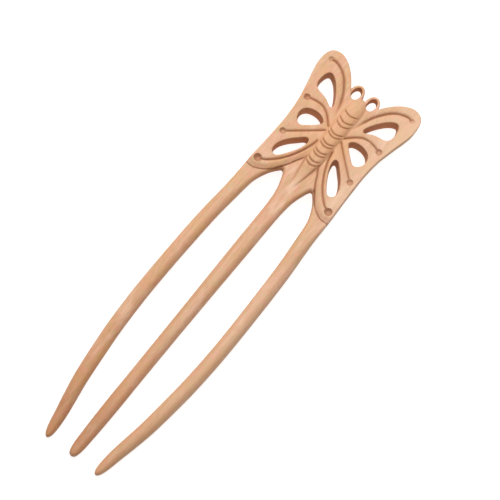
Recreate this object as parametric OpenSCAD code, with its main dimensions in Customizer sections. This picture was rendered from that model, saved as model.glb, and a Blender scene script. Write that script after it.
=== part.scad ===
// Three-prong hair fork with a pierced butterfly head, carved from one piece of wood.
// It lies face up: X runs across the wings, Y runs from the prong tips to the wing tops and
// Z points up. The fork arches gently and rests on the tips and the ends of the upper wings.

/* [Fork] */
// Length from the prong tips to the wing tops
fork_length = 166.2; // [150:0.2:180]
// Height of the arch between its two resting ends
arch_rise = 3; // [2:0.5:8]

/* [Head] */
// Width across the upper wings, which sets the width of the whole head
head_width = 40.4; // [38.4:0.2:44.4]
// Thickness of the head
head_thick = 5.5; // [4.8:0.1:7]
// Bevel round the face of the wings and of the pierced openings
edge_bevel = 0.4; // [0.2:0.1:0.8]
// Bevel along the back edge of the wings
back_bevel = 1; // [0.4:0.1:1.2]
// How far the outer walls of the upper wings lean inwards on their way to the back
edge_lean = 0.35; // [0:0.05:0.5]
// How far the walls of the pierced openings lean inwards on their way to the back
opening_lean = 0.45; // [0.1:0.05:0.6]
// Drop of the face from the rim of the lower wings to the prongs
rim_step = 0.7; // [0.4:0.1:1.2]
// Height of the butterfly's body above the wings
body_rise = 1; // [0.6:0.1:1.6]

/* [Antennae] */
// Width of each antenna loop
loop_width = 5; // [4.6:0.1:5.4]
// Height of each antenna loop
loop_height = 6.8; // [6.4:0.1:7.4]
// Wood left around the opening of a loop
loop_wall = 0.9; // [0.7:0.05:1.2]

/* [Carved lines] */
// Width of the carved lines
line_width = 0.75; // [0.5:0.05:0.9]
// Depth of the carved lines
line_depth = 0.45; // [0.3:0.05:0.6]
// Diameter of the dimple that ends a wing vein
dimple_width = 2.2; // [1.6:0.1:2.6]
// Depth of a dimple
dimple_depth = 0.8; // [0.5:0.1:1]

/* [Prongs] */
// Width of the outer prongs at mid-length
prong_width = 5.3; // [4.6:0.1:5.8]
// Height of the prongs at mid-length
prong_height = 5.1; // [4.4:0.1:5.6]

/* [Hidden] */

// The head's own origin is the middle of the butterfly's body, WING_TOP below the wing tops.
WING_TOP = 22;
NOMINAL_WIDTH = 40.4;
half_length = fork_length / 2;
head_y = half_length - WING_TOP;
widen = head_width / NOMINAL_WIDTH;
MARGIN = 0.3;          // how far a cutting tool reaches past the surface it cuts
CURVE_STEPS = 2;       // short lines between two points of a curve
SLAB_STEP = 5;         // length of the straight steps that make up the arch

// Upper end of the head's outline between the wings, from the middle line to the right
HEAD_TOP = [[0, 13.3], [1.3, 12.9], [2.4, 11.8]];
// Outer edge of the right wing, from the antenna loop over the top and down to the prong
WING_EDGE = [
    [3.2, 11.5], [4.5, 12.45], [5.75, 14.15], [8.35, 17.6], [11.25, 20.25], [13.75, 21.65],
    [15.95, 22.0], [17.9, 21.5], [19.4, 20.0], [20.08, 17.95], [20.2, 16.0], [19.98, 13.0],
    [19.36, 10.0], [18.22, 5.3], [17.3, 1.0], [16.65, -4.5], [16.45, -10.5], [16.62, -17.0],
    [16.95, -23.5], [17.15, -28.6]
];
// Lower edge of the wing's rim, from the outer prong inwards and up to the body
RIM_EDGE = [
    [16.2, -29.0], [14.5, -28.7], [12.0, -27.6], [9.8, -25.9], [7.7, -23.2],
    [6.0, -20.6], [4.6, -17.8], [3.4, -15.6], [2.6, -13.5], [1.6, -11.8]
];
// Pierced openings of the right wing, each a closed curve run counter-clockwise
OPENINGS = [
    // upper opening
    [[6.5, 5.3], [7.1, 4.3], [8.3, 4.8], [10.1, 5.8], [12.2, 6.3], [14.0, 6.7], [15.2, 7.7],
     [15.7, 9.4], [15.6, 11.4], [15.1, 13.2], [14.1, 14.1], [12.7, 13.7], [11.1, 12.5],
     [9.3, 10.4], [7.7, 7.9]],
    // middle opening
    [[5.6, -2.0], [6.3, -3.1], [7.5, -4.3], [9.0, -5.6], [10.5, -6.8], [11.8, -7.1],
     [13.1, -6.2], [13.9, -4.6], [13.9, -2.7], [12.9, -1.1], [11.2, -0.2], [9.2, 0.1],
     [7.3, -0.2], [6.0, -1.0]],
    // lower opening
    [[5.3, -10.3], [5.7, -12.7], [6.8, -15.1], [8.2, -17.4], [9.6, -19.5], [10.9, -20.8],
     [12.2, -20.8], [13.1, -19.6], [13.1, -17.7], [12.3, -15.6], [10.7, -13.3], [8.8, -11.3],
     [7.1, -9.6], [5.9, -9.3]]
];
// Veins of the right wing, each a carved line that ends in a dimple at its last point
VEINS = [
    [[3.7, 3.0], [5.2, 7.7], [7.7, 12.7], [11.1, 16.6], [14.3, 18.1], [17.1, 18.0]],
    [[3.4, -1.5], [5.6, 0.9], [8.1, 2.6], [11.4, 3.1], [15.2, 2.1]],
    [[3.4, -3.3], [8.2, -7.6], [14.2, -12.6]],
    [[3.2, -7.9], [4.4, -12.8], [7.0, -18.0], [10.6, -22.6], [14.9, -25.4]]
];
LINE_START = 0.3;      // share of its depth that a line has where it starts
// Width of each vein's dimple as a share of dimple_width
DIMPLES = [0.95, 1.05, 1.05, 1.3];
// Body of the butterfly, from the head down to the end of its tail: [height on the middle
// line, half width, share of body_rise, share of rim_step lost, height of the row's ends]
BODY = [
    [13.3, 0.8, 0.05, 0, -0.4], [12.4, 1.8, 0.50, 0, -0.9], [11.0, 2.7, 0.85, 0, -1.2],
    [9.0, 3.1, 1.0, 0, 0.2], [7.0, 3.2, 1.0, 0, 1.3], [5.6, 3.1, 1.0, 0, 1.7],
    [0.0, 3.0, 1.0, 0, 1.6], [-5.0, 2.9, 1.0, 0, 1.5], [-10.0, 2.75, 0.92, 0, 1.4],
    [-14.0, 2.6, 0.75, 0.1, 1.3], [-16.3, 2.45, 0.55, 0.3, 1.1], [-18.5, 2.15, 0.38, 0.7, 0.7],
    [-21.0, 1.65, 0.28, 0.95, 0.3], [-24.5, 1.0, 0.14, 1.0, 0], [-28.0, 0.4, 0.0, 1.1, 0]
];
// Rings carved round the body: [height on the middle line]
RINGS = [5.6, 2.6, 0.8, -2.7, -4.0, -7.1, -8.4, -11.1, -12.4, -14.8, -16.3];
BODY_COLUMNS = 10;     // facets across the body
BODY_ROOT = 1.6;       // how deep the body's base is sunk into the head
LOOP_CENTRE = [3.2, 13.85];
LOOP_SINK = 0.4;       // how far a loop's face lies below that of the wings; its back is twice as far in
LOOP_LEAN = 0.15;      // how far the wall of a loop's opening leans inwards
LEAN_END = -12;        // height on the head below which the outer walls are upright
LOOP_SIDES = 20;

// The prongs grow from the head at ROOT_Y. Their rows give [way from the root, centre, width,
// height, squareness], with width and height as shares of prong_width and prong_height, and
// a squareness of 2 for a round prong. The ways are those of a prong NOMINAL_PRONG long.
ROOT_Y = -20;
NOMINAL_PRONG = 124.2;
PRONG_SIDES = 12;
OUTER_PRONG = [
    [2.0, 11.58, 1.95, 1.00, 5.0], [2.9, 11.56, 1.98, 1.00, 5.0], [3.3, 11.86, 1.88, 1.00, 5.0],
    [4.7, 12.51, 1.67, 1.00, 4.5], [6.6, 13.19, 1.47, 1.00, 4.0], [8.6, 13.69, 1.31, 1.00, 3.5],
    [10.6, 14.09, 1.18, 1.00, 3.0], [13.5, 14.42, 1.07, 1.00, 2.6],
    [19.0, 14.82, 1.03, 1.00, 2.3], [30.0, 15.69, 1.02, 1.00, 2.2], [40.0, 16.09, 1.02, 1.00, 2.1],
    [50.0, 16.34, 1.01, 1.00, 2.1], [60.0, 16.47, 1.00, 1.00, 2.1], [70.0, 16.38, 1.00, 1.00, 2.1],
    [81.0, 15.89, 1.00, 0.98, 2.1], [90.0, 15.11, 0.99, 0.97, 2.1], [101.0, 13.91, 0.95, 0.94, 2.1],
    [110.0, 12.37, 0.89, 0.88, 2.1], [115.0, 11.45, 0.81, 0.80, 2.1],
    [119.6, 10.83, 0.69, 0.68, 2.0], [122.3, 10.47, 0.52, 0.50, 2.0],
    [123.6, 10.31, 0.31, 0.31, 2.0], [124.2, 10.26, 0.10, 0.10, 2.0]
];
MIDDLE_PRONG = [
    [-8.0, 0, 1.20, 1.00, 5.0], [-5.0, 0, 1.66, 1.00, 5.0], [-2.0, 0, 2.25, 1.00, 5.0],
    [0.5, 0, 2.70, 1.00, 5.0], [2.3, 0, 2.78, 1.00, 5.0], [2.8, 0, 2.35, 1.00, 5.0],
    [3.3, 0, 2.11, 1.00, 5.0], [4.1, 0, 1.95, 1.00, 4.5], [6.0, 0, 1.70, 1.00, 4.0],
    [8.0, 0, 1.46, 1.00, 3.5], [10.0, 0, 1.31, 1.00, 3.0], [12.0, 0, 1.21, 1.00, 2.7],
    [15.0, 0, 1.13, 1.00, 2.5], [19.0, 0, 1.10, 1.00, 2.3], [30.0, 0, 1.10, 1.00, 2.2],
    [40.0, 0, 1.07, 1.00, 2.1], [50.0, 0, 1.03, 1.00, 2.1], [70.0, 0, 0.97, 1.00, 2.1],
    [90.0, 0, 0.94, 0.97, 2.1], [101.0, 0, 0.95, 0.94, 2.1], [110.0, 0, 0.91, 0.88, 2.1],
    [115.0, 0, 0.85, 0.80, 2.1], [119.6, 0, 0.77, 0.68, 2.0], [122.3, 0, 0.62, 0.50, 2.0],
    [123.6, 0, 0.43, 0.31, 2.0], [124.2, 0, 0.16, 0.10, 2.0]
];
WAY = 0;
CENTRE = 1;
WIDTH = 2;
HEIGHT = 3;
SQUARENESS = 4;
ROOT_BLEND = 25;       // way over which the prongs grow from the head's thickness to their own
BACK_INSET = 0.1;      // how far the back of a prong's root lies above the back of the head

prong_length = fork_length - WING_TOP + ROOT_Y;
stretch = prong_length / NOMINAL_PRONG;
function prong_y(row) = ROOT_Y - row[WAY] * stretch;
// At its root a prong has the head's thickness below the step, less a hair at the back
root_height = head_thick - rim_step - BACK_INSET;
function root_share(row) = max(0, 1 - max(0, row[WAY]) / ROOT_BLEND);
function prong_size(row) = row[HEIGHT] * prong_height
    + (root_height - prong_height) * root_share(row);
function prong_middle(row) = middle(prong_y(row))
    - (rim_step - BACK_INSET) / 2 * root_share(row);

// Height of the arch over its chord, a parabola through both ends
function arch(y) = arch_rise * (1 - pow((y + head_y) / half_length, 2));
// The chord is lifted so that the wings rest on the surface at wing_rest_y, and it slopes as far
// down to the tips as it can with no row of the prongs below the surface.
wing_rest_y = WING_TOP - back_bevel;
wing_lift = head_thick / 2 - arch(wing_rest_y);
row_slopes = [
    for (row = OUTER_PRONG)
        (wing_lift + arch(prong_y(row)) - prong_height * row[HEIGHT] / 2)
            / (wing_rest_y - prong_y(row))
];
chord_slope = min(row_slopes);
// Height of the middle of the wood at a place along the fork
function middle(y) = arch(y) + wing_lift + chord_slope * (y - wing_rest_y);
function face(y) = middle(y) + head_thick / 2;

// Point of a Catmull-Rom curve between b and c, with a and d as its outer neighbours
function between(a, b, c, d, t) = 0.5 * (2 * b + (c - a) * t + (2 * a - 5 * b + 4 * c - d) * t * t
    + (3 * b - a - 3 * c + d) * t * t * t);
function open_curve(p, steps = CURVE_STEPS) = [
    for (i = [0 : len(p) - 2], k = [0 : steps - 1])
        between(p[max(i - 1, 0)], p[i], p[i + 1], p[min(i + 2, len(p) - 1)], k / steps),
    p[len(p) - 1]
];
function closed_curve(p, steps = CURVE_STEPS) = [
    for (i = [0 : len(p) - 1], k = [0 : steps - 1])
        between(p[(i + len(p) - 1) % len(p)], p[i], p[(i + 1) % len(p)],
                p[(i + 2) % len(p)], k / steps)
];
function wide(points) = [for (p = points) [p.x * widen, p.y]];
function left_normal(v) = [-v.y, v.x] / norm(v);

// Faces of a tube through rings of equal size, joined end to end or closed at both ends
function tube_faces(rings, sides, closed) = [
    for (i = [0 : rings - (closed ? 1 : 2)], k = [0 : sides - 1])
        let (j = (i + 1) % rings, m = (k + 1) % sides)
            [i * sides + k, j * sides + k, j * sides + m, i * sides + m],
    if (!closed) [for (k = [0 : sides - 1]) k],
    if (!closed) [for (k = [sides - 1 : -1 : 0]) (rings - 1) * sides + k]
];

// Everything between two heights above the middle of the wood, along the whole arch
module arched_slab(low, high) {
    stations = [for (y = [-half_length - SLAB_STEP : SLAB_STEP : half_length + SLAB_STEP]) y - head_y];
    top = [for (y = stations) [y, middle(y) + high]];
    bottom = [for (i = [len(stations) - 1 : -1 : 0]) [stations[i], middle(stations[i]) + low]];
    rotate([90, 0, 90])
        linear_extrude(height = 2 * head_width, center = true)
            polygon(concat(top, bottom));
}

module both_sides() {
    children();
    mirror([1, 0, 0]) children();
}

// Both halves of an outline whose left half runs from the middle line back to it
function mirrored(half) = concat(half, [for (i = [len(half) - 2 : -1 : 1]) [-half[i].x, half[i].y]]);
function ellipse(width, height, centre) = [
    for (k = [0 : LOOP_SIDES - 1])
        let (a = 360 * (k + 0.5) / LOOP_SIDES)
            centre + [width / 2 * cos(a), height / 2 * sin(a)]
];

// V-shaped line cut along a path in the face, shallow at its first point
module carved_line(path) {
    half_top = line_width / 2 * (1 + MARGIN / line_depth);
    rings = [
        for (i = [0 : len(path) - 1])
            let (
                side = left_normal(path[min(i + 1, len(path) - 1)] - path[max(i - 1, 0)]) * half_top,
                p = path[i],
                top = face(p.y) + MARGIN
            )
            [
                [p.x, p.y, face(p.y) - (i == 0 ? LINE_START : 1) * line_depth],
                [p.x + side.x, p.y + side.y, top],
                [p.x - side.x, p.y - side.y, top]
            ]
    ];
    polyhedron([for (r = rings, p = r) p], tube_faces(len(rings), 3, false));
}

module dimple(p, width) {
    radius = (pow(width / 2, 2) + pow(dimple_depth, 2)) / (2 * dimple_depth);
    translate([p.x, p.y, face(p.y) - dimple_depth + radius])
        sphere(r = radius, $fn = 12);
}

// Solid inside a counter-clockwise outline, with a bevel where its wall meets the face and one
// where it meets the back. Negative bevels widen it there, for an opening. The leans say how far
// each wall leans inwards on its way to the back.
module bevelled_prism(outline, bevel, back_bevels, leans) {
    count = len(outline);
    half = head_thick / 2;
    normals = [
        for (i = [0 : count - 1])
            left_normal(outline[(i + 1) % count] - outline[(i + count - 1) % count])
    ];
    function past(size) = size + MARGIN * sign(size);
    function at(i, way, z) = [outline[i].x + normals[i].x * way, outline[i].y + normals[i].y * way, z];
    function ring(level) = [
        for (i = [0 : count - 1])
            let (centre = middle(outline[i].y), back = back_bevels[i], lean = leans[i])
                level == 0 ? at(i, lean + past(back), -2 * MARGIN)
                : level == 1 ? at(i, lean + past(back), centre - half - MARGIN)
                : level == 2 ? at(i, lean, centre - half + abs(back))
                : level == 3 ? at(i, 0, centre + half - abs(bevel))
                : level == 4 ? at(i, past(bevel), centre + half + MARGIN)
                : at(i, past(bevel), arch_rise + 2 * head_thick)
    ];
    polyhedron([for (level = [0 : 5], p = ring(level)) p], tube_faces(6, count, false));
}

module wings() {
    edge = wide(open_curve(WING_EDGE));
    rim = wide(open_curve(RIM_EDGE));
    left = [for (p = concat(wide(HEAD_TOP), edge, rim, [[0, -11.8]])) [-p.x, p.y]];
    // The rim has no bevel at the back, where the prongs run on from it
    back_end = len(HEAD_TOP) + len(edge) - 2;
    back = [for (i = [0 : len(left) - 1]) i <= back_end ? back_bevel : 0];
    back_mirrored = concat(back, [for (i = [len(back) - 2 : -1 : 1]) back[i]]);
    outline = mirrored(left);
    leans = [for (p = outline) edge_lean * max(0, min(1, 1 - p.y / LEAN_END))];
    difference() {
        intersection() {
            arched_slab(-head_thick / 2, head_thick / 2);
            bevelled_prism(outline, edge_bevel, back_mirrored, leans);
        }
        both_sides()
            for (hole = OPENINGS) {
                curve = wide(closed_curve(hole));
                back = [for (p = curve) -edge_bevel / 2];
                bevelled_prism(curve, -edge_bevel, back, [for (p = curve) opening_lean]);
            }
    }
}

module antenna_loops() {
    centre = wide([LOOP_CENTRE])[0];
    intersection() {
        arched_slab(-head_thick / 2 + 2 * LOOP_SINK, head_thick / 2 - LOOP_SINK);
        linear_extrude(height = 4 * head_thick + arch_rise)
            both_sides() polygon(ellipse(loop_width, loop_height, centre));
    }
}

// Openings of the loops, cut through whatever of the head lies behind them
module loop_openings() {
    centre = wide([LOOP_CENTRE])[0];
    curve = ellipse(loop_width - 2 * loop_wall, loop_height - 2 * loop_wall, centre);
    both_sides() bevelled_prism(curve, 0, [for (p = curve) 0], [for (p = curve) LOOP_LEAN]);
}

// A column of the BODY table at any height on the middle line
function body_column(y, column) = lookup(y, [for (row = BODY) [row[0], row[column]]]);
// The body's rows: [height on the middle line, depth carved out of it], with three for a ring
body_rows = concat(
    [for (row = BODY) if (row[0] > RINGS[0] + line_width) [row[0], 0]],
    [for (y = RINGS, k = [1, 0, -1]) [y + k * line_width / 2, k == 0 ? line_depth : 0]],
    [for (row = BODY) if (row[0] < RINGS[len(RINGS) - 1] - line_width) [row[0], 0]]
);

// The body stands out of the head as a row of rounded rings that hang down in the middle
module body_ridge() {
    sides = BODY_COLUMNS + 3;
    rings = [
        for (row = body_rows)
            let (
                half_width = body_column(row[0], 1) * widen,
                rise = body_rise * body_column(row[0], 2) - row[1],
                lost = rim_step * body_column(row[0], 3),
                ends = body_column(row[0], 4)
            )
            [
                for (k = [0 : BODY_COLUMNS])
                    let (u = 1 - 2 * k / BODY_COLUMNS, y = row[0] + ends * u * u)
                        [u * half_width, y,
                         face(y) - lost + rise * (1 - pow(abs(u), 3)) - MARGIN * pow(u, 4)],
                [-half_width, row[0] + ends, face(row[0]) - BODY_ROOT],
                [half_width, row[0] + ends, face(row[0]) - BODY_ROOT]
            ]
    ];
    polyhedron([for (r = rings, p = r) p], tube_faces(len(rings), sides, false));
}

// Superellipse ring of a prong at one row, in the plane across the fork, with its flats at the
// row's full width and height
function prong_ring(row) = [
    for (k = [0 : PRONG_SIDES - 1])
        let (
            a = 360 * (k + 0.5) / PRONG_SIDES,
            power = 2 / row[SQUARENESS],
            across = sign(cos(a)) * pow(abs(cos(a)) / cos(180 / PRONG_SIDES), power),
            up = sign(sin(a)) * pow(abs(sin(a)) / cos(180 / PRONG_SIDES), power)
        )
            [
                row[CENTRE] * widen + row[WIDTH] * prong_width / 2 * across,
                prong_y(row),
                prong_middle(row) + prong_size(row) / 2 * up
            ]
];

module prong(rows) {
    polyhedron([for (row = rows, p = prong_ring(row)) p],
               tube_faces(len(rows), PRONG_SIDES, false));
}

module carving() {
    both_sides()
        for (i = [0 : len(VEINS) - 1]) {
            path = wide(open_curve(VEINS[i]));
            carved_line(path);
            dimple(path[len(path) - 1], DIMPLES[i] * dimple_width);
        }
}

module hair_fork() {
    color("burlywood")
        translate([0, head_y, 0])
            difference() {
                union() {
                    wings();
                    antenna_loops();
                    body_ridge();
                    both_sides() prong(OUTER_PRONG);
                    prong(MIDDLE_PRONG);
                }
                loop_openings();
                carving();
            }
}

hair_fork();
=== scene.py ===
"""Looks of a hair fork carved from one piece of peach-coloured wood: three long prongs under a pierced
butterfly head. Sizes are in millimetres in the head's own frame, whose origin is the middle of the
butterfly's body: x runs across the wings, y from the tips to the wing tops, and w is the height over
the middle of the wood. to_row_frame() bends the fork into its arch and puts it into the row frame."""

import math

import bpy
import numpy as np
from mathutils import Matrix, Vector


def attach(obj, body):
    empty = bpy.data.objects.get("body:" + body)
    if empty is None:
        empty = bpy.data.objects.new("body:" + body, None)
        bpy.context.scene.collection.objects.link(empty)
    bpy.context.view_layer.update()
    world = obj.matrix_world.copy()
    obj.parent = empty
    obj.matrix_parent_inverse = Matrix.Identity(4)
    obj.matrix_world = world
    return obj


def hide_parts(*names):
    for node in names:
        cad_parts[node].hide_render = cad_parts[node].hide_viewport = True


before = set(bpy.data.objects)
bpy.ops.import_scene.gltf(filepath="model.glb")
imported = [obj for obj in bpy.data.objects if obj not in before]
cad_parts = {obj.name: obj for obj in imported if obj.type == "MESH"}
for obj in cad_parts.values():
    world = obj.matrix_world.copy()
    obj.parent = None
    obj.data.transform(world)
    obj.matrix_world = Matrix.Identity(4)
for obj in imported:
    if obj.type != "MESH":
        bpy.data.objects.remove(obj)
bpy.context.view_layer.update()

# Sizes of the fork
LENGTH = 166.2
WING_TOP = 22.0
HALF = LENGTH / 2
HEAD_Y = HALF - WING_TOP
ARCH_RISE = 3.0
HEAD_THICK = 5.5
PRONG_HEIGHT = 5.1
ROOT_Y = -20.0
ROOT_BLEND = 25.0
RIM_STEP = 0.7
BODY_RISE = 1.0
# Edges of the wings: rounding at the face and at the back, how far the wall leans over the head's
# thickness, and the length over which that lean grows, up to the middle of the body
EDGE_BEVEL = 0.4
BACK_BEVEL = 1.0
EDGE_LEAN = 0.35
LEAN_LENGTH = 12.0
# Openings: how far their walls lean over the head's thickness, and the rounding of their edges
OPENING_FLARE = 0.45
OPENING_ROUNDING = 0.3
# What the slots' upper ends add to the wings' rounding, and the prongs' rounding as a share of their
# half height
SLOT_ROUNDING = 0.8
PRONG_ROUNDING = 0.97
# Places between which the prongs' rounding sets in along y, and that of the slots' upper ends along y
# and from the outside
PRONG_START_Y = (-26.0, -46.0)
SLOT_START_Y = (-18.0, -22.0)
SLOT_START_X = (15.5, 14.0)

# Right half of the fork's outline, from the butterfly's head over the wing and round both prongs
HEAD_TOP = [(0.0, 13.4), (0.8, 13.25), (1.7, 12.6), (2.4, 11.8), (3.1, 11.5), (3.9, 11.75)]
WING_EDGE = [
    (4.5, 12.45), (5.75, 14.15), (7.15, 16.1), (8.35, 17.6), (9.65, 18.9), (11.25, 20.25),
    (12.9, 21.25), (14.45, 21.85), (15.95, 22.0), (17.6, 21.65), (18.87, 20.77), (19.7, 19.4),
    (20.08, 17.95), (20.2, 16.1), (20.14, 14.0), (19.78, 12.0), (19.36, 10.0), (18.84, 8.0),
    (18.22, 5.3), (17.7, 2.9), (17.3, 1.0), (16.9, -2.0), (16.62, -5.0), (16.45, -9.0),
    (16.5, -13.0), (16.62, -17.0), (16.75, -20.0), (17.0, -24.0), (17.15, -27.0),
]
OUTER_PRONG_EDGE = [
    (17.2, -30.0), (17.27, -34.0), (17.55, -39.0), (18.4, -50.0), (18.8, -60.0), (19.0, -70.0),
    (19.12, -80.0), (19.02, -90.0), (18.53, -101.0), (17.73, -110.0), (16.43, -121.0),
    (14.73, -130.0), (13.6, -135.0), (12.65, -139.6), (11.85, -142.3), (11.15, -143.6),
    (10.35, -144.2), (9.6, -143.8), (9.1, -142.3),
]
SLOT_EDGE = [
    (9.0, -139.6), (9.3, -135.0), (10.0, -130.0), (11.38, -121.0), (12.48, -110.0),
    (13.25, -101.0), (13.73, -90.0), (13.82, -80.0), (13.67, -70.0), (13.38, -60.0), (12.98, -50.0),
    (12.1, -39.0), (11.65, -34.0), (11.25, -31.6), (10.7, -29.8), (10.05, -28.2), (9.2, -26.4),
    (8.0, -24.6), (6.6, -22.95),
]
MIDDLE_PRONG_EDGE = [
    (5.9, -22.85), (5.25, -23.9), (4.5, -26.0), (3.88, -28.0), (3.46, -30.0), (3.2, -32.0),
    (2.98, -35.5), (2.92, -39.0), (2.92, -50.0), (2.83, -60.0), (2.73, -70.0), (2.57, -90.0),
    (2.5, -110.0), (2.52, -121.0), (2.4, -130.0), (2.25, -135.0), (2.05, -139.7), (1.65, -142.3),
    (1.05, -143.7), (0.0, -144.2),
]
# Height of the prongs towards their tips: (y, share of PRONG_HEIGHT)
PRONG_TAPER = np.array([
    (-20.0, 1.0), (-90.0, 1.0), (-101.0, 0.98), (-110.0, 0.97), (-121.0, 0.94), (-130.0, 0.88),
    (-135.0, 0.80), (-139.6, 0.68), (-142.3, 0.50), (-143.6, 0.33), (-144.3, 0.16),
])[::-1]
# Where the tips touch the floor: y, and the share of PRONG_HEIGHT there
TIP_REST = (-139.6, 0.68)
# Pierced openings of the right wing, each a closed curve
OPENINGS = [
    [(6.5, 5.3), (7.1, 4.3), (8.3, 4.8), (10.1, 5.8), (12.2, 6.3), (14.0, 6.7), (15.2, 7.7),
     (15.7, 9.4), (15.6, 11.4), (15.1, 13.2), (14.1, 14.1), (12.7, 13.7), (11.1, 12.5),
     (9.3, 10.4), (7.7, 7.9)],
    [(5.6, -2.0), (6.3, -3.1), (7.5, -4.3), (9.0, -5.6), (10.5, -6.8), (11.8, -7.1),
     (13.1, -6.2), (13.9, -4.6), (13.9, -2.7), (12.9, -1.1), (11.2, -0.2), (9.2, 0.1),
     (7.3, -0.2), (6.0, -1.0)],
    [(5.3, -10.3), (5.7, -12.7), (6.8, -15.1), (8.2, -17.4), (9.6, -19.5), (10.9, -20.8),
     (12.2, -20.8), (13.1, -19.6), (13.1, -17.7), (12.3, -15.6), (10.7, -13.3), (8.8, -11.3),
     (7.1, -9.6), (5.9, -9.3)],
]
# Antenna loop: its middle, half width and half height of its outside and of its opening, how far it lies
# below the face, how far its opening's wall leans, the rounding of both, and the fillet at the head
LOOP_CENTRE = (3.2, 13.85)
LOOP_OUTSIDE = (2.5, 3.4)
LOOP_OPENING = (1.6, 2.5)
LOOP_SINK = 0.4
LOOP_FLARE = 0.15
LOOP_ROUNDING = 0.45
LOOP_OPENING_ROUNDING = 0.25
LOOP_FILLET = 0.35

# Lower edge of the wing's raised rim, from beyond the outer prong to the body
RIM_EDGE = [
    (24.0, -28.4), (17.1, -28.6), (14.5, -28.7), (12.0, -27.6), (9.8, -25.9), (7.7, -23.2),
    (6.0, -20.6), (4.6, -17.8), (3.4, -15.6), (2.7, -13.6), (2.2, -12.0), (1.0, -11.0),
]
# Distances from that edge between which the face rises from the prongs to the wings
RIM_SLOPE = (-0.2, 0.3)
# Depth and width of the rubbed-down lip above the rim's edge and of the groove at its foot, and how far
# the groove lies below the edge
LIP_DEPTH, LIP_WIDTH = 0.66, 1.25
FOOT_DEPTH, FOOT_WIDTH, FOOT_OFFSET = 0.24, 0.3, 0.25
# Notch between two prongs, where the groove at the rim's foot is deepest
NOTCH_CENTRE = (7.2, -22.9)
NOTCH_DEPTH, NOTCH_WIDTH = 0.3, 1.3
# Carved veins of the right wing: (path, half width, depth, depth share at its first point)
VEINS = [
    ([(3.7, 3.0), (4.4, 5.3), (5.3, 8.0), (6.3, 10.4), (7.7, 12.7), (9.4, 15.0), (11.3, 16.7),
      (13.4, 17.8), (15.3, 18.3), (16.6, 18.1)], 0.47, 0.6, 0.15),
    ([(3.4, -1.5), (5.0, 0.2), (6.4, 1.5), (8.1, 2.6), (10.2, 3.1), (12.3, 2.9), (14.4, 2.4)],
     0.38, 0.5, 1.0),
    ([(3.4, -3.3), (8.2, -7.6), (13.4, -12.0)], 0.34, 0.45, 1.0),
    ([(3.2, -7.9), (3.7, -10.4), (4.5, -12.8), (5.7, -15.6), (7.2, -18.3), (9.0, -20.9),
      (11.1, -23.1), (12.6, -24.4), (14.0, -25.1)], 0.37, 0.58, 1.0),
]
# Share of a vein's length over which it reaches its depth, and the rubbed-down shoulders beside it
VEIN_GROWTH = 0.3
SHOULDER_DEPTH, SHOULDER_WIDTH = 0.16, 1.1
# Dimples that end the veins: (middle, radius, depth), with a soft lip
DIMPLES = [((17.1, 18.0), 1.0, 0.5), ((15.2, 2.1), 1.2, 0.8), ((14.2, -12.6), 1.15, 0.8),
           ((14.9, -25.4), 1.45, 1.0)]
DIMPLE_LIP = 0.08
# Body, from head to tail: (y, half width, share of BODY_RISE, share of RIM_STEP lost, ring sag)
BODY = np.array([
    (13.4, 0.9, 0.02, 0, -0.5), (12.4, 1.9, 0.50, 0, -0.9), (11.0, 2.7, 0.85, 0, -1.2),
    (9.0, 3.1, 1.0, 0, 0.2), (7.0, 3.2, 1.0, 0, 1.3), (5.6, 3.15, 1.0, 0, 1.7),
    (0.0, 3.0, 1.0, 0, 1.6), (-5.0, 2.9, 1.0, 0, 1.5), (-10.0, 2.75, 0.92, 0, 1.4),
    (-14.0, 2.6, 0.75, 0.1, 1.3), (-16.3, 2.45, 0.55, 0.3, 1.1), (-18.5, 2.15, 0.38, 0.7, 0.7),
    (-21.0, 1.65, 0.28, 0.95, 0.3), (-24.5, 1.0, 0.14, 1.0, 0), (-28.0, 0.5, 0.0, 1.0, 0),
])[::-1]
# Soft join of the body and the wings
BODY_FILLET = 0.26
# Rings carved across the body: the y of each on the middle line, and their depth and width
RINGS = [5.6, 2.6, 0.8, -2.7, -4.0, -7.1, -8.4, -11.1, -12.4, -14.8, -16.3]
RING_DEPTH, RING_WIDTH = 0.28, 0.3
# Shares of the body's half width between which a ring fades in from the side
RING_END = (1.05, 0.7)
# Line carved along each side of the tail, and the shares of its length between which it fades in at its
# start and at its end
TAIL_LINE = [(2.75, -13.4), (2.45, -16.5), (1.95, -19.5), (1.4, -22.5), (0.85, -25.5), (0.3, -28.2)]
TAIL_DEPTH, TAIL_WIDTH = 0.26, 0.33
TAIL_START, TAIL_END = (0.0, 0.12), (1.0, 0.4)
# How dark the painted shade in the cuts is, from 0 to 1: dimples by their depth, rings, lines of the
# tail, foot of the body's sides, foot of the rim, what the notch adds to it, and the rim's upper edge
DIMPLE_DARK, RING_DARK, TAIL_DARK, SIDE_DARK = 0.65, 0.85, 0.6, 0.18
FOOT_DARK, NOTCH_DARK, LIP_DARK = 0.9, 0.6, 0.2
# Width of the painted shade at the rim's upper edge, and of a vein's as a share of its half width
LIP_DARK_WIDTH, VEIN_DARK_SHARE = 0.8, 0.7
# Painted shade at the foot of the body's sides: its middle and width as shares of the body's half width,
# and the places between which it sets in from the tail and from the head
SIDE_MIDDLE, SIDE_WIDTH = 1.02, 0.08
SIDE_TAIL_Y, SIDE_HEAD_Y = (-16.0, -13.0), (9.0, 6.0)
# Heights between which the painted shade of the cuts sets in, and that of the walls, which is a share of
# how upright they are
CUT_HEIGHTS, WALL_HEIGHTS = (-0.2, 1.0), (1.5, -2.0)
# Painted shade that darkens the walls further down in the openings
WALL_DEPTH_SHADE = 0.6
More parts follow.
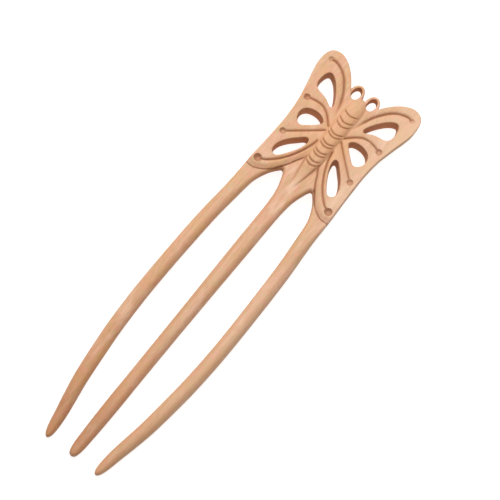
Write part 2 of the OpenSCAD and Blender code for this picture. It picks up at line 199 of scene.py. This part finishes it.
# Upright walls, with darker end grain and painted shade: parts of the normal between which a wall counts
# as upright, distances from an opening's edge, and what the slots' upper ends and the wings' edges count
# as painted shade, with their places
WALL_TILT, WALL_REACH, OUTER_WALL_SHADE = (0.35, 0.85), (1.2, 0.4), 0.7
SLOT_WALL_X, SLOT_WALL_LOW_Y, SLOT_WALL_TOP_Y = (2.5, 13.5), (-37.0, -28.0), (-20.0, -21.0)
WING_WALL_X, WING_WALL_Y = 13.0, (-30.0, -20.0)

# Grid: steps over the head, along the prongs and at the tips, number of steps from the middle to each
# side, and the y past the tips where it ends
HEAD_STEP, PRONG_STEP, TIP_STEP = 0.25, 2.0, 0.4
SIDE_STEPS = 83
GRID_END = -145.2
# Newton's rule: number of moves, longest move, and least square of the gradient
MOVES, LONGEST_MOVE, LEAST_SLOPE = 2, 0.15, 0.05
# Step for slopes, and a distance farther than any here
SMALL_STEP = 0.01
FAR = 1e9

# Colours of the wood, sRGB from 0 to 255
STRAW, PEACH = (224, 185, 141), (237, 177, 147)
BLUSH, HONEY = (246, 205, 176), (230, 180, 124)
STREAK, PORE = (214, 154, 112), (176, 116, 76)
# The first colour here is painted sheen on the right wing and painted light on the right prong
PAINTED_SHEEN, HEART = (247, 212, 180), (231, 173, 127)
# The first colour here is painted shade in the carved lines and creases, the second darker end grain and
# painted shade on the upright walls
PAINTED_CUT_SHADE, WALL_GRAIN_AND_SHADE = (140, 72, 34), (212, 158, 122)
# Linear colours that darken the wood towards the tips as painted shade, and again on the left and the
# middle tip
PAINTED_TIP_SHADE, LEFT_TIPS_DARKENING = (0.94, 0.84, 0.74, 1.0), (0.88, 0.82, 0.8, 1.0)

# Camera: azimuth, elevation and roll in degrees, then metres, metres and millimetres
CAMERA_TURN = (19.55, 72.5, 19.18)
CAMERA_TARGET = (0.0028, 0.00879, 0.007)
CAMERA_DISTANCE = 3.0
CAMERA_LENS = 652.2
# Soft square lights in metres and watts: (name, place, target, side, power, colour)
LIGHTS = [
    ("key_light", (-0.42, 0.36, 0.62), (0, 0.04, 0), 0.4, 3.6, (1.0, 0.98, 0.95)),
    ("top_light", (-0.05, 0.18, 0.7), (0, 0.02, 0), 0.5, 2.0, (1.0, 1.0, 1.0)),
    ("fill_light", (0.3, 0.12, 0.08), (0, 0.02, 0), 0.15, 0.03, (1.0, 1.0, 1.0)),
]
WORLD_COLOUR, WORLD_STRENGTH = (1.0, 0.96, 0.9, 1.0), 0.22
# Floor in metres, its grey, and its glow on the fork and as the camera sees it
FLOOR_HALF, FLOOR_DROP = 1.5, 0.0002
FLOOR_GREY, FLOOR_GLOW, FLOOR_SEEN_GLOW = 0.4, 0.45, 0.85


def smooth_curve(points, steps, closed=False):
    """Points of a Catmull-Rom curve. Between b and c, with the neighbours a and d, it is half of
    2b + (c - a)t + (2a - 5b + 4c - d)t^2 + (3b - a - 3c + d)t^3, for t from 0 to 1."""
    p = np.asarray(points, float)
    if closed:
        a, b, c, d = (np.roll(p, k, 0) for k in (1, 0, -1, -2))
    else:
        full = np.concatenate([p[:1], p, p[-1:]])
        a, b, c, d = full[:-3], full[1:-2], full[2:-1], full[3:]
    t = (np.arange(steps) / steps)[None, :, None]
    a, b, c, d = (v[:, None, :] for v in (a, b, c, d))
    curve = 0.5 * (2 * b + (c - a) * t + (2 * a - 5 * b + 4 * c - d) * t**2
                   + (3 * b - a - 3 * c + d) * t**3)
    curve = curve.reshape(-1, 2)
    return np.concatenate([curve, curve[:1] if closed else p[-1:]])


def nearest(x, y, path):
    """Distance from each place to a chain of straight lines, and the way along the chain to the nearest
    point. On a line that point is the foot of the perpendicular, held between the line's ends."""
    best, way, done = np.full(x.shape, FAR), np.zeros(x.shape), 0.0
    for (ax, ay), (bx, by) in zip(path[:-1], path[1:]):
        ux, uy = bx - ax, by - ay
        size = math.hypot(ux, uy)
        t = np.clip(((x - ax) * ux + (y - ay) * uy) / size**2, 0, 1)
        far = (x - ax - t * ux) ** 2 + (y - ay - t * uy) ** 2
        closer = far < best
        best = np.where(closer, far, best)
        way = np.where(closer, done + t * size, way)
        done += size
    return np.sqrt(best), way / done


def inside(x, y, outline):
    """True where a ray towards +x crosses the closed outline an odd number of times."""
    odd = np.zeros(x.shape, bool)
    for (ax, ay), (bx, by) in zip(outline, np.roll(outline, -1, 0)):
        if ay != by:
            odd ^= ((ay > y) != (by > y)) & (x < (bx - ax) * (y - ay) / (by - ay) + ax)
    return odd


def signed(x, y, path, outline):
    """Distance to a path, less than zero inside the closed outline that it is part of."""
    far = nearest(x, y, path)[0]
    return np.where(inside(x, y, outline), -far, far)


def ease(value, start, end):
    """Smooth step from 0 at start to 1 at end: 3t^2 - 2t^3, with t the way between, held to 0 and 1."""
    t = np.clip((value - start) / (end - start), 0, 1)
    return t * t * (3 - 2 * t)


def groove(far, width):
    """Section of a soft groove, 1 in its middle: exp(-u^2) with u the distance over the width."""
    return np.exp(-((far / width) ** 2))


def round_both(a, b, radius):
    """Distance to what lies inside both of two shapes, with their common edge rounded to a radius."""
    u, v = np.maximum(a + radius, 0), np.maximum(b + radius, 0)
    return np.minimum(np.maximum(a, b), -radius) + np.hypot(u, v)


def soft_max(a, b, size):
    """The greater of two heights, with a soft change of that size between them."""
    h = np.maximum(size - np.abs(a - b), 0) / size
    return np.maximum(a, b) + h * h * size / 4


OUTLINE = np.concatenate([
    smooth_curve(HEAD_TOP + WING_EDGE + OUTER_PRONG_EDGE + SLOT_EDGE, 4),
    smooth_curve(MIDDLE_PRONG_EDGE, 4),
])
HOLES = [smooth_curve(hole, 5, closed=True) for hole in OPENINGS]
RIM = smooth_curve(RIM_EDGE, 4)
BELOW_RIM = np.concatenate([RIM, [(0.0, -11.0), (0.0, -160.0), (24.0, -160.0)]])
VEIN_PATHS = [smooth_curve(vein[0], 4) for vein in VEINS]
TAIL_PATH = smooth_curve(TAIL_LINE, 4)
ANGLES = np.linspace(0, 2 * np.pi, 49)[:, None]
LOOP_RINGS = [
    np.array(LOOP_CENTRE) + np.hstack([np.cos(ANGLES), np.sin(ANGLES)]) * size
    for size in (LOOP_OUTSIDE, LOOP_OPENING)
]


def prong_heights(y):
    """Heights of a prong's face and back. It has the head's thickness less the rim step at its root, and
    grows over ROOT_BLEND to its own height, which then follows PRONG_TAPER."""
    way = ROOT_Y - y
    root = np.clip(1 - np.maximum(way, 0) / ROOT_BLEND, 0, 1)
    own = PRONG_HEIGHT / 2 * np.interp(y, PRONG_TAPER[:, 0], PRONG_TAPER[:, 1])
    face = own + (HEAD_THICK / 2 - RIM_STEP - own) * root
    back = -own + (own - HEAD_THICK / 2) * root
    return face, back


def wing_cuts(x, y):
    """Depth of the veins and dimples, depth of the rubbed-down shoulders beside the veins, and how dark
    the painted shade in the cuts is. A vein is a groove that starts with its share of its depth. A
    dimple is the cup of a sphere whose radius is (r^2 + depth^2) / 2 depth, r being the dimple's own,
    and has a soft lip."""
    cut, shoulder, dark = (np.zeros(x.shape) for _ in range(3))
    for (_, half_width, depth, start), path in zip(VEINS, VEIN_PATHS):
        far, way = nearest(x, y, path)
        share = start + (1 - start) * ease(way, 0, VEIN_GROWTH)
        cut = np.maximum(cut, depth * share * groove(far, half_width))
        dark = np.maximum(dark, share * groove(far, VEIN_DARK_SHARE * half_width))
        shoulder = np.maximum(shoulder, SHOULDER_DEPTH * share * groove(far, SHOULDER_WIDTH))
    for (cx, cy), radius, depth in DIMPLES:
        far = np.hypot(x - cx, y - cy)
        sphere = (radius**2 + depth**2) / (2 * depth)
        cup = np.sqrt(np.maximum(sphere**2 - far**2, 0)) - (sphere - depth)
        cut = soft_max(cut, cup, DIMPLE_LIP)
        dark = np.maximum(dark, DIMPLE_DARK * depth * ease(cup, 0, depth / 2))
    return cut, shoulder, dark


def plate_face(x, y):
    """Height of the carved face without the body, and how dark the painted shade in its cuts is. The
    wings are level, less their cuts and the rubbed-down lip of the rim. At the rim they step down to the
    prongs' face, with a groove at the rim's foot that deepens in the notch between two prongs."""
    cut, shoulder, dark = wing_cuts(x, y)
    rim_far = signed(x, y, RIM, BELOW_RIM)
    above_rim = ease(rim_far, *RIM_SLOPE)
    lip = LIP_DEPTH * groove(rim_far, LIP_WIDTH) * (rim_far > 0)
    foot = groove(rim_far + FOOT_OFFSET, FOOT_WIDTH)
    notch = groove(np.hypot(x - NOTCH_CENTRE[0], y - NOTCH_CENTRE[1]), NOTCH_WIDTH)
    prong_face, _ = prong_heights(y)
    wings = HEAD_THICK / 2 - cut - shoulder - lip
    plate = prong_face + (wings - prong_face) * above_rim - (FOOT_DEPTH + NOTCH_DEPTH * notch) * foot
    # Painted shade in the crease at the rim's foot and in the notch, and on the rim's upper edge
    painted_crease_shade = foot * (FOOT_DARK + NOTCH_DARK * notch)
    painted_crease_shade = np.maximum(painted_crease_shade, LIP_DARK * groove(rim_far, LIP_DARK_WIDTH) * above_rim)
    return plate, np.maximum(dark, painted_crease_shade)


def body_ridge(x, y):
    """Height of the body, the section of its rings, and u, x over the body's half width. The body is a
    ridge with the section 1 - u^3. A ring is a groove that sags towards the tail in its middle: its
    sides lie nearer to the head by the sag times u^2."""
    half_width, rise, lost, sag = (np.interp(y, BODY[:, 0], BODY[:, k]) for k in (1, 2, 3, 4))
    u = x / half_width
    middle_y = y - sag * u**2
    rings = sum(groove(middle_y - ring, RING_WIDTH) for ring in RINGS) * ease(u, *RING_END)
    ridge = HEAD_THICK / 2 - RIM_STEP * lost + BODY_RISE * rise * (1 - u**3)
    return ridge - RING_DEPTH * rings, rings, u


def carving(x, y):
    """Height of the carved face over the middle of the wood at each place, and how dark the painted
    shade in a cut is there. The face is the higher of the plate and the body, softly joined, less the
    lines of the tail."""
    x = np.abs(x)
    plate, dark = plate_face(x, y)
    ridge, rings, u = body_ridge(x, y)
    far, way = nearest(x, y, TAIL_PATH)
    tail = groove(far, TAIL_WIDTH) * ease(way, *TAIL_START) * ease(way, *TAIL_END)
    face = soft_max(plate, ridge, BODY_FILLET) - TAIL_DEPTH * tail
    # Painted shade at the foot of the body's sides
    side = groove(u - SIDE_MIDDLE, SIDE_WIDTH) * ease(y, *SIDE_TAIL_Y) * ease(y, *SIDE_HEAD_Y)
    darks = [np.where(u < 1, 0, dark), RING_DARK * rings, TAIL_DARK * tail, SIDE_DARK * side]
    return face, np.max(darks, axis=0)


def plan(x, y):
    """What the field needs at each place of the plan: distance to the outline and its lean, distance to
    the openings, heights of the face and the back, rounding of their edges, and distances to the loops
    and to the loops' openings. The rounding is EDGE_BEVEL on the wings, more at the slots' upper ends,
    and almost the half height on the prongs. The back's is BACK_BEVEL on the wings."""
    x = np.abs(x)
    edge = signed(x, y, OUTLINE, OUTLINE)
    lean = EDGE_LEAN * np.clip((y + LEAN_LENGTH) / LEAN_LENGTH, 0, 1)
    hole = np.max([-signed(x, y, path, path) for path in HOLES], axis=0)
    face, _ = carving(x, y)
    prong_face, prong_back = prong_heights(y)
    back = np.where(y > ROOT_Y, -HEAD_THICK / 2, prong_back)
    on_prong = ease(y, *PRONG_START_Y)
    round_prong = PRONG_ROUNDING * (prong_face - prong_back) / 2
    rounding = EDGE_BEVEL + (round_prong - EDGE_BEVEL) * on_prong
    slot_end = ease(x, *SLOT_START_X) * ease(y, *SLOT_START_Y) * (1 - on_prong)
    rounding = np.minimum(rounding + SLOT_ROUNDING * slot_end, round_prong)
    back_rounding = rounding + (BACK_BEVEL - EDGE_BEVEL) * (1 - on_prong)
    loop, loop_hole = (signed(x, y, ring, ring) for ring in LOOP_RINGS)
    return edge, lean, hole, face, back, rounding, back_rounding, loop, loop_hole


def field(places, w):
    """Less than zero inside the wood: the plan's outline between the back and the carved face, with
    rounded edges, joined softly to the antenna loops, less the openings of the loops. The walls lean
    with the depth below the head's face. A loop lies LOOP_SINK below the face and twice that above
    the back."""
    edge, lean, hole, face, back, rounding, back_rounding, loop, loop_hole = places
    depth = np.clip(0.5 - w / HEAD_THICK, 0, 1)
    above, below = w - face, back - w
    edge = edge + lean * depth
    hole = hole - OPENING_FLARE * depth
    wood = np.maximum(round_both(edge, above, rounding), round_both(edge, below, back_rounding))
    pierced = [round_both(hole, side, OPENING_ROUNDING) for side in (above, below)]
    wood = np.maximum(wood, np.maximum(*pierced))
    loop_top = HEAD_THICK / 2 - LOOP_SINK
    loop_back = -HEAD_THICK / 2 + 2 * LOOP_SINK
    ring = np.maximum(*(round_both(loop, side, LOOP_ROUNDING) for side in (w - loop_top, loop_back - w)))
    joined = -soft_max(-wood, -ring, LOOP_FILLET)
    return round_both(joined, -loop_hole - LOOP_FLARE * depth, LOOP_OPENING_ROUNDING)


def grid_axes():
    """Places of the grid: fine over the head and the tips, widening to the prongs, and fine in height
    where the face and the back are."""
    x = np.arange(-SIDE_STEPS, SIDE_STEPS + 1) * HEAD_STEP
    head = np.arange(22.5, -30.0, -HEAD_STEP)
    widening = np.cumsum(np.linspace(0.3, PRONG_STEP, 12))
    prongs = np.arange(head[-1] - widening[-1] - PRONG_STEP, -134.0, -PRONG_STEP)
    tips = np.arange(prongs[-1] - 2 * TIP_STEP, GRID_END, -TIP_STEP)
    y = np.concatenate([head, head[-1] - widening, prongs, tips])[::-1]
    w = np.concatenate([np.arange(-3.2, -1.6, 0.35), np.arange(-1.1, 0.9, 0.65),
                        np.arange(1.3, 4.4, 0.2)])
    return x, y, w


def surface_nets(f, axes):
    """Points and faces of the surface where the field is zero. Each cell of the grid that the surface
    crosses gets one point, the mean of the places where the cell's edges cross it, and each crossed
    edge gets one face over the four cells around it."""
    cells = tuple(n - 1 for n in f.shape)
    total, count, faces = np.zeros((np.prod(cells), 3)), np.zeros(np.prod(cells)), []
    for axis in range(3):
        low = np.take(f, np.arange(f.shape[axis] - 1), axis)
        high = np.take(f, np.arange(1, f.shape[axis]), axis)
        crossed = np.argwhere((low < 0) != (high < 0))
        start, end = low[tuple(crossed.T)], high[tuple(crossed.T)]
        point = np.stack([axes[k][crossed[:, k]] for k in range(3)], 1)
        step = axes[axis][crossed[:, axis] + 1] - axes[axis][crossed[:, axis]]
        point[:, axis] += step * start / (start - end)
        b, c = (axis + 1) % 3, (axis + 2) % 3
        around = []
        for back_b, back_c in ((1, 1), (0, 1), (0, 0), (1, 0)):
            cell = crossed.copy()
            cell[:, b] -= back_b
            cell[:, c] -= back_c
            around.append(np.ravel_multi_index(tuple(cell.T), cells))
        quad = np.stack(around, 1)
        for corner in range(4):
            count += np.bincount(quad[:, corner], minlength=len(count))
            for k in range(3):
                total[:, k] += np.bincount(quad[:, corner], point[:, k], minlength=len(count))
        faces.append(np.where((start < 0)[:, None], quad, quad[:, ::-1]))
    used = np.flatnonzero(count)
    index = np.zeros(len(count), int)
    index[used] = np.arange(len(used))
    return total[used] / count[used, None], index[np.concatenate(faces)]


def slope(points):
    """Value of the field at each point and its gradient, from small steps along each axis."""
    x, y, w = points.T
    here = plan(x, y)
    value = field(here, w)
    gradient = np.stack([
        field(plan(x + SMALL_STEP, y), w) - value,
        field(plan(x, y + SMALL_STEP), w) - value,
        field(here, w + SMALL_STEP) - value,
    ], 1) / SMALL_STEP
    return value, gradient


def arch(y):
    """Height of a parabola over its chord, zero at both ends of the fork."""
    return ARCH_RISE * (1 - ((y + HEAD_Y) / HALF) ** 2)


def wood_middle(y):
    """Height of the middle of the wood: the arch, leant so that tips and wings both touch the floor."""
    head_y = WING_TOP - BACK_BEVEL
    tip_y, tip_share = TIP_REST
    head_lift = HEAD_THICK / 2 - arch(head_y)
    tip_lift = PRONG_HEIGHT * tip_share / 2 - arch(tip_y)
    return arch(y) + tip_lift + (head_lift - tip_lift) * (y - tip_y) / (head_y - tip_y)


def to_row_frame(points, normals):
    """Adds the middle's height to w and moves the head's frame to the row frame, in metres. A normal's y
    loses the arch's slope times its w, as the shear of the surface asks."""
    x, y, w = points.T
    steepness = (wood_middle(y + SMALL_STEP) - wood_middle(y - SMALL_STEP)) / (2 * SMALL_STEP)
    placed = np.stack([x, y + HEAD_Y, w + wood_middle(y)], 1) / 1000
    turned = np.stack([normals[:, 0], normals[:, 1] - steepness * normals[:, 2], normals[:, 2]], 1)
    return placed, turned / np.linalg.norm(turned, axis=1, keepdims=True)


def fork_surface():
    """Points, faces and normals of the whole fork: the zero surface of the field, with its points moved
    onto it by Newton's rule, p - f g / g^2, and with the field's own gradient g as its normals."""
    x, y, w = grid_axes()
    right = x >= -1e-9
    half_x, half_y = np.meshgrid(x[right], y, indexing="ij")
    mirror = np.abs(np.arange(len(x)) - len(x) // 2)
    places = [p.reshape(half_x.shape)[mirror][:, :, None] for p in plan(half_x.ravel(), half_y.ravel())]
    points, faces = surface_nets(field(places, w[None, None, :]), (x, y, w))
    for _ in range(MOVES):
        value, gradient = slope(points)
        move = -value / np.maximum((gradient**2).sum(1), LEAST_SLOPE)
        points = points + np.clip(move, -LONGEST_MOVE, LONGEST_MOVE)[:, None] * gradient
    _, normals = slope(points)
    return points, faces, normals / np.linalg.norm(normals, axis=1, keepdims=True)


def upright_wall(points, normals):
    """Share of darker end grain and painted shade on a wall, by the upright part of its normal: up to 1
    on the walls of the openings and of the loops, less on the slots' upper ends and the wings' edges,
    where it is painted shade only, and 0 on level wood and along the prongs."""
    x, y = np.abs(points[:, 0]), points[:, 1]
    near = np.full(x.shape, FAR)
    for path in [*HOLES, LOOP_RINGS[1]]:
        near = np.minimum(near, nearest(x, y, path)[0])
    slot_end = (x > SLOT_WALL_X[0]) & (x < SLOT_WALL_X[1]) & (normals[:, 1] < 0)
    slot_end = OUTER_WALL_SHADE * slot_end * ease(y, *SLOT_WALL_LOW_Y) * ease(y, *SLOT_WALL_TOP_Y)
    wing_edge = OUTER_WALL_SHADE * ((x > WING_WALL_X) | (y > 0)) * ease(y, *WING_WALL_Y)
    shade = np.max([ease(near, *WALL_REACH), slot_end, wing_edge], axis=0)
    return ease(1 - np.abs(normals[:, 2]), *WALL_TILT) * shade


def fork_mesh():
    """The whole fork as one closed mesh in the row frame, with an attribute for the painted shade in a
    cut or at the foot of a wall, and upright_wall, the share of darker end grain and painted shade on a
    wall."""
    points, faces, normals = fork_surface()
    placed, turned = to_row_frame(points, normals)
    mesh = bpy.data.meshes.new("carved_fork")
    mesh.vertices.add(len(placed))
    mesh.vertices.foreach_set("co", placed.astype(np.float32).ravel())
    mesh.loops.add(faces.size)
    mesh.loops.foreach_set("vertex_index", faces.astype(np.int32).ravel())
    mesh.polygons.add(len(faces))
    mesh.polygons.foreach_set("loop_start", np.arange(0, faces.size, 4, dtype=np.int32))
    mesh.polygons.foreach_set("use_smooth", np.ones(len(faces), bool))
    mesh.update(calc_edges=True)
    mesh.validate()
    mesh.normals_split_custom_set_from_vertices(turned)

    # How dark the painted shade is in the cuts
    _, cut = carving(points[:, 0], points[:, 1])
    wall = upright_wall(points, turned)
    # Painted shade that grows further down the walls
    deep_wall_shade = WALL_DEPTH_SHADE * wall * ease(points[:, 2], *WALL_HEIGHTS)
    cut = np.maximum(cut * ease(points[:, 2], *CUT_HEIGHTS), deep_wall_shade)
    for name, value in (("painted_cut_shade", cut), ("upright_wall", wall)):
        mesh.attributes.new(name, "FLOAT", "POINT").data.foreach_set("value", value.astype(np.float32))
    return mesh


def colour(rgb):
    """Linear colour of an sRGB colour given from 0 to 255, by the sRGB curve."""
    s = np.array(rgb) / 255
    return (*np.where(s <= 0.04045, s / 12.92, ((s + 0.055) / 1.055) ** 2.4), 1.0)


def add_node(tree, kind, values=(), **settings):
    """A node of the tree with its settings made and its inputs given by name or number."""
    node = tree.nodes.new(kind)
    for name, value in settings.items():
        setattr(node, name, value)
    for name, value in dict(values).items():
        if isinstance(value, bpy.types.NodeSocket):
            tree.links.new(value, node.inputs[name])
        else:
            node.inputs[name].default_value = value
    return node


def maths(tree, operation, *values):
    """Result of one operation on two or three values."""
    return add_node(tree, "ShaderNodeMath", dict(enumerate(values)), operation=operation).outputs[0]


def noise(tree, place, scale, size, detail=2.0, roughness=0.55):
    """Noise on Object coordinates stretched by a scale along each axis."""
    mapped = add_node(tree, "ShaderNodeMapping", {"Vector": place, "Scale": scale})
    return add_node(tree, "ShaderNodeTexNoise", {
        "Vector": mapped.outputs[0], "Scale": size, "Detail": detail, "Roughness": roughness,
    }).outputs["Fac"]


def spread(tree, value, low, high, out_low=0.0, out_high=1.0):
    """A value between low and high carried to between out_low and out_high, and held there."""
    return add_node(tree, "ShaderNodeMapRange", {
        "Value": value, "From Min": low, "From Max": high, "To Min": out_low, "To Max": out_high,
    }).outputs[0]


def blend(tree, share, first, second, mode="MIX"):
    """Colour mix of two colours by a share, which are the node's inputs 6, 7 and 0."""
    node = add_node(tree, "ShaderNodeMix", data_type="RGBA", blend_type=mode)
    for socket, value in ((node.inputs[0], share), (node.inputs[6], first), (node.inputs[7], second)):
        if isinstance(value, bpy.types.NodeSocket):
            tree.links.new(value, socket)
        else:
            socket.default_value = value
    return node.outputs[2]


def wood_masks(tree, place):
    """Shares of the painted sheen, of the painted shade towards the tips, of the darker left and middle
    tips and of the heart at each place. The painted sheen is strongest on the right wing, and on the
    prongs it grows towards the right as painted light. The left and the middle tip are the darkest. The
    heart is an ellipse around the body, 0.65 at its middle and 0 at its edge."""
    split = add_node(tree, "ShaderNodeSeparateXYZ", {"Vector": place}).outputs
    x, y = split["X"], split["Y"]
    # Painted sheen on the right wing
    wing = maths(tree, "MULTIPLY", spread(tree, x, 0.003, 0.02, 0.0, 0.5), spread(tree, y, 0.02, 0.045))
    # Painted light, growing towards the right prong
    prongs = maths(tree, "MULTIPLY", spread(tree, x, -0.012, 0.016, 0.0, 0.26),
                   spread(tree, y, 0.03, -0.02))
    pale = maths(tree, "MAXIMUM", wing, prongs)
    # Painted shade towards the tips
    tips = spread(tree, y, 0.0, -0.08)
    # Darker on the left and the middle tip
    left_tips = maths(tree, "MULTIPLY", spread(tree, x, 0.012, -0.002), spread(tree, y, -0.05, -0.074))
    ellipse = add_node(tree, "ShaderNodeMapping", {
        "Vector": place, "Location": (0.0, -3.9, 0.0), "Scale": (125.0, 70.0, 0.0),
    }).outputs[0]
    far = add_node(tree, "ShaderNodeVectorMath", {0: ellipse}, operation="LENGTH").outputs["Value"]
    return pale, tips, left_tips, spread(tree, far, 1.4, 0.3, 0.0, 0.65)


def peach_wood():
    """Sanded and lightly oiled peach wood: warm and cool patches, streaks and fine pores along the
    grain, with painted sheen towards the right, painted shade towards the tips, darker again on the left
    and middle tips, painted shade in the carved lines, and darker end grain with painted shade on the
    upright walls, which are also more matt."""
    material = bpy.data.materials.new("oiled_peach_wood")
    material.use_nodes = True
    tree = material.node_tree
    shader = tree.nodes["Principled BSDF"]
    place = tree.nodes.new("ShaderNodeTexCoord").outputs["Object"]
    patches = noise(tree, place, (1.0, 0.5, 1.0), 120.0)
    mottle = noise(tree, place, (1.0, 0.6, 1.0), 800.0)
    blush = noise(tree, place, (1.0, 0.4, 1.0), 230.0)
    streaks = noise(tree, place, (1.0, 0.045, 1.0), 900.0, 4.0, 0.6)
    pores = noise(tree, place, (1.0, 0.12, 1.0), 3000.0, 2.0, 0.5)
    pale, tips, left_tips, heart = wood_masks(tree, place)
    cut, wall = (add_node(tree, "ShaderNodeAttribute", attribute_name=name).outputs["Fac"]
                 for name in ("painted_cut_shade", "upright_wall"))
    tone = spread(tree, maths(tree, "MULTIPLY_ADD", mottle, 2.0, patches), 1.2, 1.8)
    base = blend(tree, tone, colour(STRAW), colour(PEACH))
    for share, tint, mode in (
        (spread(tree, blush, 0.52, 0.66, 0.0, 0.6), colour(BLUSH), "MIX"),
        (spread(tree, blush, 0.48, 0.34, 0.0, 0.5), colour(HONEY), "MIX"),
        (spread(tree, streaks, 0.42, 0.72, 0.0, 0.5), colour(STREAK), "MIX"),
        (spread(tree, pores, 0.5, 0.75, 0.0, 0.3), colour(PORE), "MIX"),
        # painted sheen and painted light
        (pale, colour(PAINTED_SHEEN), "MIX"),
        # painted shade towards the tips
        (tips, PAINTED_TIP_SHADE, "MULTIPLY"),
        # darker again on the left and the middle tip
        (left_tips, LEFT_TIPS_DARKENING, "MULTIPLY"),
        (heart, colour(HEART), "MIX"),
        # painted shade in the carved lines, the creases and low on the walls
        (spread(tree, cut, 0.04, 0.95, 0.0, 0.8), colour(PAINTED_CUT_SHADE), "MIX"),
        # darker end grain and painted shade on the upright walls
        (spread(tree, wall, 0.0, 1.0, 0.0, 0.85), colour(WALL_GRAIN_AND_SHADE), "MIX"),
    ):
        base = blend(tree, share, base, tint, mode)
    tree.links.new(base, shader.inputs["Base Color"])
    rough = maths(tree, "ADD", spread(tree, streaks, 0.3, 0.8, 0.42, 0.56),
                  spread(tree, wall, 0.0, 1.0, 0.0, 0.5))
    tree.links.new(rough, shader.inputs["Roughness"])
    shader.inputs["Specular IOR Level"].default_value = 0.35
    grain = maths(tree, "ADD", streaks, pores)
    bump = add_node(tree, "ShaderNodeBump", {"Height": grain, "Strength": 0.10, "Distance": 0.0001})
    tree.links.new(bump.outputs["Normal"], shader.inputs["Normal"])
    return material


def floor():
    """A plain pale floor just under the fork. It glows more to the camera than it does on the fork, so
    that it is as white as the photograph's ground."""
    corners = [(x * FLOOR_HALF, y * FLOOR_HALF, 0) for x, y in ((-1, -1), (1, -1), (1, 1), (-1, 1))]
    mesh = bpy.data.meshes.new("pale_floor")
    mesh.from_pydata(corners, [], [(0, 1, 2, 3)])
    material = bpy.data.materials.new("pale_floor")
    material.use_nodes = True
    tree = material.node_tree
    shader = tree.nodes["Principled BSDF"]
    shader.inputs["Base Color"].default_value = (FLOOR_GREY, FLOOR_GREY, FLOOR_GREY, 1)
    shader.inputs["Roughness"].default_value = 1.0
    shader.inputs["Specular IOR Level"].default_value = 0.0
    shader.inputs["Emission Color"].default_value = (1, 1, 1, 1)
    seen = add_node(tree, "ShaderNodeLightPath").outputs["Is Camera Ray"]
    tree.links.new(spread(tree, seen, 0.0, 1.0, FLOOR_GLOW, FLOOR_SEEN_GLOW),
                   shader.inputs["Emission Strength"])
    mesh.materials.append(material)
    plane = bpy.data.objects.new("pale_floor", mesh)
    plane.location.z = -FLOOR_DROP
    bpy.context.scene.collection.objects.link(plane)


def area_light(name, place, target, size, power, tint):
    """A soft square light that faces a target."""
    light = bpy.data.lights.new(name, "AREA")
    light.size, light.energy, light.color = size, power, tint
    lamp = bpy.data.objects.new(name, light)
    lamp.location = place
    lamp.visible_camera = False
    lamp.rotation_euler = (Vector(target) - Vector(place)).to_track_quat("-Z", "Y").to_euler()
    bpy.context.scene.collection.objects.link(lamp)


def soft_world():
    """Even warm light from all sides."""
    world = bpy.data.worlds.new("soft_studio")
    world.use_nodes = True
    background = world.node_tree.nodes["Background"]
    background.inputs["Color"].default_value = WORLD_COLOUR
    background.inputs["Strength"].default_value = WORLD_STRENGTH
    bpy.context.scene.world = world


def camera():
    """The camera at the photograph's viewing angle: a long lens, high over the fork, turned so that the
    prongs run to the lower left."""
    data = bpy.data.cameras.new("camera")
    data.lens, data.sensor_width = CAMERA_LENS, 36.0
    data.clip_start, data.clip_end = 0.05, 20.0
    view = bpy.data.objects.new("camera", data)
    azimuth, elevation, roll = (math.radians(a) for a in CAMERA_TURN)
    back = Vector((math.sin(azimuth) * math.cos(elevation), -math.cos(azimuth) * math.cos(elevation),
                   math.sin(elevation)))
    right = Vector((math.cos(azimuth), math.sin(azimuth), 0.0))
    up = back.cross(right)
    across = right * math.cos(roll) + up * math.sin(roll)
    upright = back.cross(across)
    turn = Matrix((across, upright, back)).transposed().to_4x4()
    view.matrix_world = Matrix.Translation(Vector(CAMERA_TARGET) + back * CAMERA_DISTANCE) @ turn
    bpy.context.scene.collection.objects.link(view)
    bpy.context.scene.camera = view


fork = bpy.data.objects.new("carved_fork", fork_mesh())
bpy.context.scene.collection.objects.link(fork)
fork.data.materials.append(peach_wood())
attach(fork, "root")
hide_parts("hair_fork")

floor()
camera()
for light in LIGHTS:
    area_light(*light)
soft_world()
bpy.context.scene.view_settings.view_transform = "Standard"
